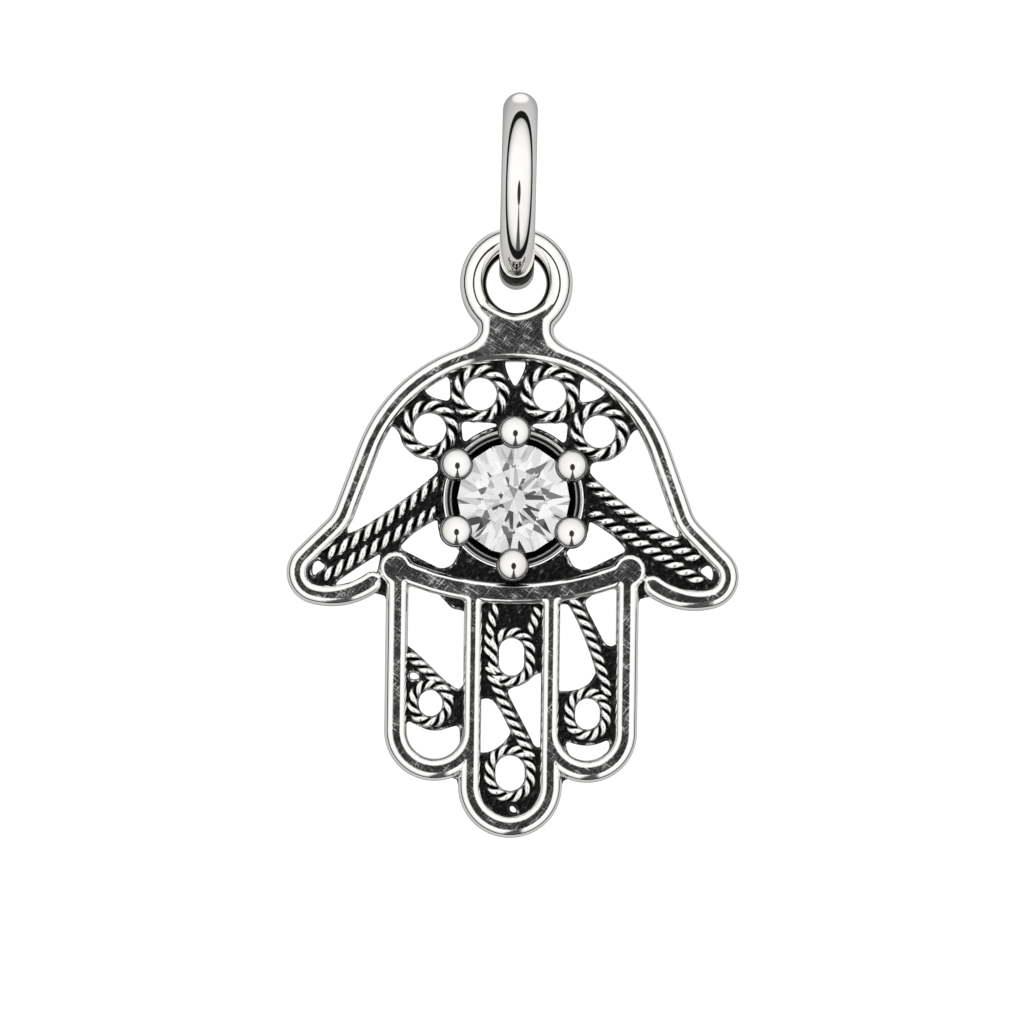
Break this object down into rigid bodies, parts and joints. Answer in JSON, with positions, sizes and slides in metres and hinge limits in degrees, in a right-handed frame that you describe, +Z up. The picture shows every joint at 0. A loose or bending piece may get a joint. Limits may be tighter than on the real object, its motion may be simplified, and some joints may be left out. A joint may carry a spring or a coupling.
{
  "type": "hamsa pendant",
  "caption": "Openwork hamsa hand pendant in antiqued silver with twisted wires, a round stone in ball prongs, and a round jump ring for a chain.",
  "frame": {"origin": "inner top of the jump ring, where a chain bears", "axes": "+Z up along the hand, its longest side; the hand faces -Y; the chain runs along X"},
  "size_m": [0.0094, 0.0042, 0.0155],
  "materials": {
    "ring_silver": "polished silver wire",
    "antique_silver": "cast silver, darkened in the recesses and polished on its edges",
    "setting_silver": "polished silver",
    "clear_stone": "clear faceted stone"
  },
  "bodies": {
    "ring": {"jump_ring": "ring_silver"},
    "pendant": {"hand_frame": "antique_silver", "stone_setting": "setting_silver", "stone": "clear_stone"}
  },
  "joints": [
    {"name": "side_swing", "type": "hinge", "parent": "ring", "child": "pendant", "pos_m": [0, 0, -0.00302], "axis": [0, 1, 0], "range_deg": [-110, 110]}
  ]
}
